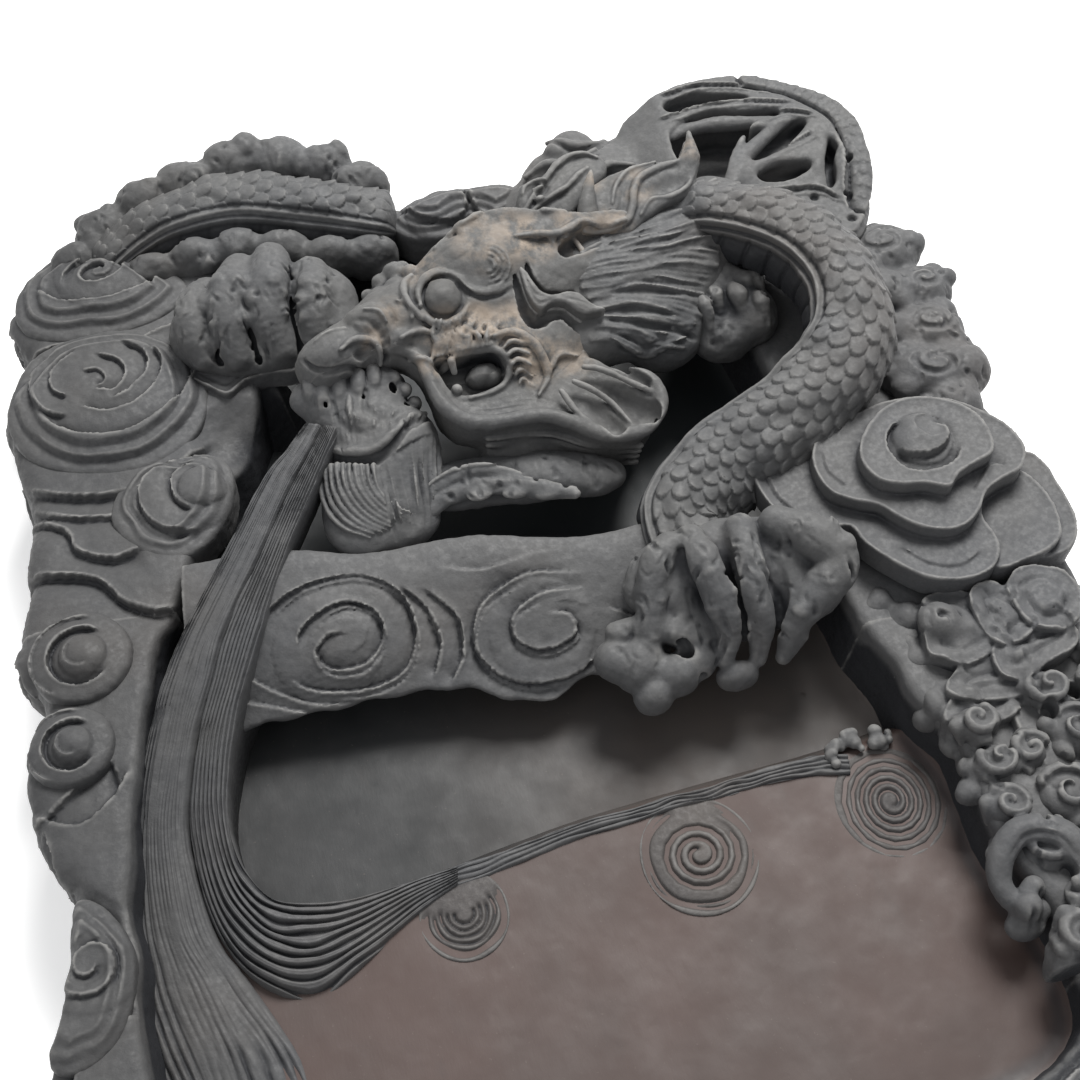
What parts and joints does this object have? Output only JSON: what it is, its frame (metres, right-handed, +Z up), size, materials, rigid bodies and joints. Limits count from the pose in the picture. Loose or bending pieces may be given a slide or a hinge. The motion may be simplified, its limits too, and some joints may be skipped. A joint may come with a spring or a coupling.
{
  "type": "carved inkstone",
  "caption": "Large slate inkstone with a grinding bed, an ink pool, cloud-carved banks and a carved dragon that spouts water along the edge of the bed.",
  "frame": {"origin": "on the table under the middle of the stone's box", "axes": "+Z up, +X to the writer's right, +Y away from the writer, from the grinding bed to the dragon"},
  "size_m": [0.2969, 0.3502, 0.0862],
  "materials": {
    "carved_slate": "matte, dark in the cuts and paler on worn edges",
    "dragon_slate": "matte, scale tips worn paler",
    "worn_slate": "matte, tan where hands have worn it",
    "ground_slate": "smooth, ground, purple-brown"
  },
  "bodies": {
    "root": {"front_lip": "carved_slate", "left_lower_bank": "carved_slate", "left_upper_bank": "carved_slate", "rear_left_bank": "carved_slate", "rear_right_bank": "carved_slate", "right_upper_bank": "carved_slate", "right_lower_bank": "carved_slate", "left_rear_cloud": "carved_slate", "left_middle_cloud": "carved_slate", "left_inner_cloud": "carved_slate", "left_front_cloud": "carved_slate", "left_scroll_knobs": "carved_slate", "rear_cloud": "carved_slate", "big_cloud": "carved_slate", "right_rear_knobs": "carved_slate", "right_wave_curls": "carved_slate", "scroll_bridge": "carved_slate", "wave_crest": "carved_slate", "medallions": "carved_slate", "water_spout": "carved_slate", "dragon_rear_body": "dragon_slate", "hind_claw": "dragon_slate", "tail_fan": "dragon_slate", "neck": "dragon_slate", "mane": "dragon_slate", "beard": "dragon_slate", "whisker": "dragon_slate", "front_claw": "dragon_slate", "head": "worn_slate", "lower_jaw": "worn_slate", "horns": "worn_slate", "ear": "worn_slate", "slab": "ground_slate", "grinding_bed": "ground_slate"}
  },
  "joints": []
}
